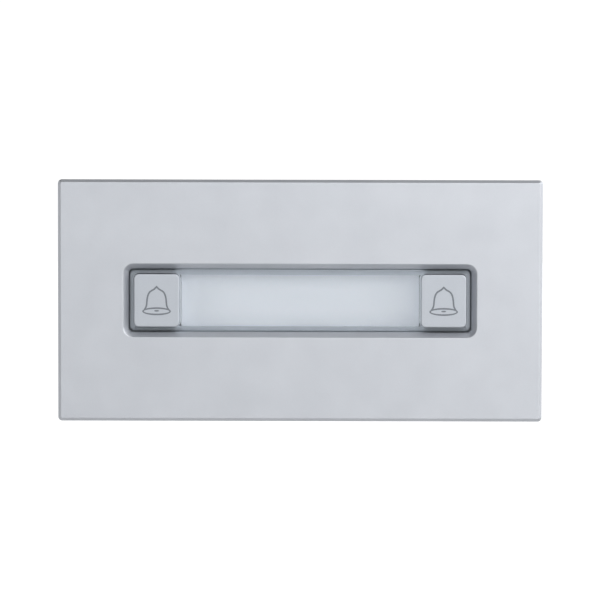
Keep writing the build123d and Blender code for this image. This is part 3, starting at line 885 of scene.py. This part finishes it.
# ---- Stage: pale floor well below, soft light that is brightest front right ----
def make_floor():
    """Pale floor, white to the camera with a trace of shadow, and not there from below."""
    half, drop = 3.0, 0.06
    z = cad_bounds[0].z - drop
    mesh = bpy.data.meshes.new("floor")
    corners = [(-half, -half, z), (half, -half, z), (half, half, z), (-half, half, z)]
    mesh.from_pydata(corners, [], [(0, 1, 2, 3)])
    floor = bpy.data.objects.new("floor", mesh)
    bpy.context.scene.collection.objects.link(floor)
    mat = new_material("floor_paint", Roughness=0.9)
    shader_of(mat).inputs["Base Color"].default_value = (0.8, 0.8, 0.8, 1)
    glow = add_node(mat, "ShaderNodeEmission", Strength=1.25)
    path = add_node(mat, "ShaderNodeLightPath")
    share = add_node(mat, "ShaderNodeMath", operation="MULTIPLY")
    share.inputs[1].default_value = 0.8
    lit = add_node(mat, "ShaderNodeMixShader")
    clear = add_node(mat, "ShaderNodeBsdfTransparent")
    side = add_node(mat, "ShaderNodeNewGeometry")
    both = add_node(mat, "ShaderNodeMixShader")
    link(mat, path.outputs["Is Camera Ray"], share.inputs[0])
    link(mat, share.outputs[0], lit.inputs["Fac"])
    link(mat, shader_of(mat).outputs[0], lit.inputs[1])
    link(mat, glow.outputs[0], lit.inputs[2])
    link(mat, side.outputs["Backfacing"], both.inputs["Fac"])
    link(mat, lit.outputs[0], both.inputs[1])
    link(mat, clear.outputs[0], both.inputs[2])
    link(mat, both.outputs[0], mat.node_tree.nodes["Material Output"].inputs["Surface"])
    mesh.materials.append(mat)


BASE_LIGHT = 0.33
# Direction the light comes from, its gain, and the cosines where it starts and is full.
LOBES = (
    ((0.58, -0.76, 0.30), 0.88, -0.1, 1.0),
    ((0.10, -0.75, 0.66), 0.45, 0.5, 1.0),
    ((0.0, 0.10, 1.0), -0.40, 0.1, 0.8),
    ((1.0, 0.5, 0.0), 0.85, 0.4, 1.0),
    ((-1.0, 0.8, 0.0), 0.55, 0.4, 1.0),
    ((0.0, 1.0, 0.2), 0.30, 0.2, 1.0),
)


def make_world():
    """Studio surround: a broad bright lobe to the right of the camera, dimmer overhead."""
    world = bpy.data.worlds.new("studio")
    bpy.context.scene.world = world
    world.use_nodes = True
    tree = world.node_tree
    back = tree.nodes["Background"]
    place = tree.nodes.new("ShaderNodeTexCoord")
    total = None
    for direction, gain, start, end in LOBES:
        dot = tree.nodes.new("ShaderNodeVectorMath")
        dot.operation = "DOT_PRODUCT"
        dot.inputs[1].default_value = Vector(direction).normalized()
        link(world, place.outputs["Generated"], dot.inputs[0])
        lobe = tree.nodes.new("ShaderNodeMapRange")
        lobe.interpolation_type = "SMOOTHSTEP"
        for socket, number in zip(lobe.inputs[1:5], (start, end, 0.0, gain)):
            socket.default_value = number
        link(world, dot.outputs["Value"], lobe.inputs["Value"])
        add = tree.nodes.new("ShaderNodeMath")
        add.inputs[1].default_value = BASE_LIGHT
        link(world, lobe.outputs["Result"], add.inputs[0])
        if total:
            link(world, total, add.inputs[1])
        total = add.outputs[0]
    least = tree.nodes.new("ShaderNodeMath")
    least.operation = "MAXIMUM"
    least.inputs[1].default_value = 0.0
    link(world, total, least.inputs[0])
    link(world, least.outputs[0], back.inputs["Strength"])
    back.inputs["Color"].default_value = (0.965, 0.985, 1.0, 1)
    white = tree.nodes.new("ShaderNodeBackground")
    white.inputs["Color"].default_value = (1, 1, 1, 1)
    white.inputs["Strength"].default_value = 1.05
    path = tree.nodes.new("ShaderNodeLightPath")
    mix = tree.nodes.new("ShaderNodeMixShader")
    link(world, path.outputs["Is Camera Ray"], mix.inputs["Fac"])
    link(world, back.outputs[0], mix.inputs[1])
    link(world, white.outputs[0], mix.inputs[2])
    link(world, mix.outputs[0], tree.nodes["World Output"].inputs["Surface"])


def add_softbox(name, direction, distance, size, power):
    """Rectangular studio light that faces the object from this direction."""
    light = bpy.data.lights.new(name, "AREA")
    light.shape = "RECTANGLE"
    light.size, light.size_y = size
    light.energy = power
    obj = bpy.data.objects.new(name, light)
    bpy.context.scene.collection.objects.link(obj)
    way = Vector(direction).normalized()
    obj.location = way * distance
    obj.rotation_mode = "QUATERNION"
    obj.rotation_quaternion = way.to_track_quat("Z", "Y")


def make_camera():
    """Long lens square on to the plate and a little above; field is the width in view."""
    distance, field, tilt, roll = 0.50, 0.12128, 2.6, 0.14
    target = Vector((-0.03 * MM, cad_bounds[0].y, 0.17 * MM))
    camera = bpy.data.cameras.new("camera")
    camera.sensor_width = 36
    camera.lens = camera.sensor_width * distance / field
    camera.clip_start = 0.01
    obj = bpy.data.objects.new("camera", camera)
    bpy.context.scene.collection.objects.link(obj)
    angle = math.radians(tilt)
    obj.location = target + Vector((0, -math.cos(angle), math.sin(angle))) * distance
    obj.rotation_euler = (math.radians(90 - tilt), 0, 0)
    obj.rotation_euler.rotate_axis("Z", math.radians(roll))
    bpy.context.scene.camera = obj


make_floor()
make_world()
make_camera()
SOFTBOX_DISTANCE = 0.6
add_softbox("key", (0.62, -0.72, 0.42), SOFTBOX_DISTANCE, (0.40, 0.40), 0.95)
add_softbox("rear_left", (-0.7, 0.7, 0.5), SOFTBOX_DISTANCE, (0.4, 0.4), 0.7)
add_softbox("rear_right", (0.8, 0.6, 0.3), SOFTBOX_DISTANCE, (0.3, 0.5), 0.5)
bpy.context.scene.view_settings.view_transform = "Standard"
